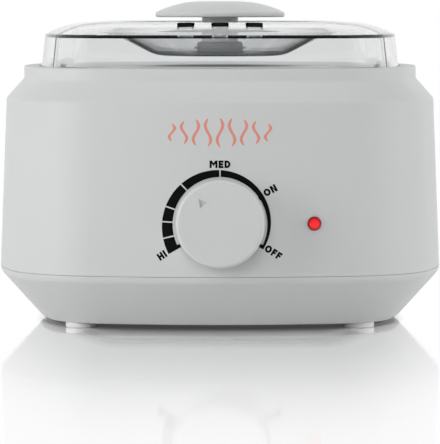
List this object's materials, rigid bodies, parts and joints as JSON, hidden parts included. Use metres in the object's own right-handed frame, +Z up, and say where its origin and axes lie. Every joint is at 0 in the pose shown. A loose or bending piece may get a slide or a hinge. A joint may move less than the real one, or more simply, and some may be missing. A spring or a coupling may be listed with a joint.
{
  "type": "wax warmer",
  "caption": "Electric wax warmer: squarish chamfered housing with a heated round well, lift-out pot with a bail, clear vented lid with a knob, front dial and lamp.",
  "frame": {"origin": "on the table, under the middle of the housing and of the part's bounding box", "axes": "+Z up, the dial at the front towards -Y, the cable gland at the rear towards +Y, the lamp at the right towards +X as seen from the front"},
  "size_m": [0.1848, 0.2128, 0.1329],
  "materials": {
    "housing_plastic": "satin moulded, very light grey",
    "foot_rubber": "matt white",
    "steel": "zinc plated",
    "aluminium": "spun, satin",
    "seal_rubber": "matt black",
    "spring_steel": "blued",
    "heater_steel": "heat tinted",
    "fuse_metal": "plated can",
    "shield_steel": "galvanised sheet",
    "dark_plastic": "black phenolic",
    "lens_red": "clear red, glossy",
    "bulb_glass": "clear glass",
    "gland_plastic": "satin light grey nylon",
    "block_plastic": "natural nylon",
    "lead_insulation": "brown silicone",
    "heater_lead_insulation": "glass-braid sleeve, off white",
    "lamp_lead_insulation": "blue silicone",
    "knob_plastic": "satin moulded, very light grey",
    "wire_steel": "bright drawn wire",
    "clear_plastic": "clear, glossy",
    "stem_plastic": "mid grey, satin"
  },
  "bodies": {
    "housing": {"upper_housing": "housing_plastic", "base_tray": "housing_plastic", "feet": "foot_rubber", "base_screws": "steel", "heating_well": "aluminium", "well_gasket": "seal_rubber", "retaining_ring": "spring_steel", "band_heater": "heater_steel", "heater_clamp": "steel", "thermal_fuse": "fuse_metal", "fuse_clip": "spring_steel", "heat_shield": "shield_steel", "shield_screws": "steel", "thermostat": "dark_plastic", "thermostat_nut": "steel", "indicator_lens": "lens_red", "lamp_holder": "dark_plastic", "lamp_bulb": "bulb_glass", "gland_body": "gland_plastic", "gland_seal": "seal_rubber", "gland_locknut": "gland_plastic", "gland_dome_nut": "gland_plastic", "terminal_block": "block_plastic", "block_screws": "steel", "mains_leads": "lead_insulation", "heater_leads": "heater_lead_insulation", "lamp_leads": "lamp_lead_insulation"},
    "control_knob": {"control_knob": "knob_plastic", "thermostat_spindle": "steel"},
    "pot": {"wax_pot": "aluminium", "bail_studs": "steel"},
    "bail": {"bail": "wire_steel"},
    "lid": {"lid_shell": "clear_plastic", "lid_knob_cap": "knob_plastic", "lid_knob_stem": "stem_plastic", "lid_knob_collar": "stem_plastic", "lid_washer": "steel", "lid_screw": "steel"}
  },
  "joints": [
    {"name": "dial_turn", "type": "hinge", "parent": "housing", "child": "control_knob", "pos_m": [0, -0.0916, 0.04485], "axis": [0, -1, 0], "range_deg": [-158, 82]},
    {"name": "pot_lift", "type": "slide", "parent": "housing", "child": "pot", "axis": [0, 0, 1], "range_m": [0, 0.11]},
    {"name": "lid_lift", "type": "slide", "parent": "pot", "child": "lid", "axis": [0, 0, 1], "range_m": [0, 0.25]},
    {"name": "bail_swing", "type": "hinge", "parent": "pot", "child": "bail", "pos_m": [0, 0, 0.10585], "axis": [1, 0, 0], "range_deg": [0, 182]}
  ],
  "couplings": [
    {"joint": "bail_swing", "follows": "lid_lift", "rad_per_m": 12.56}
  ]
}
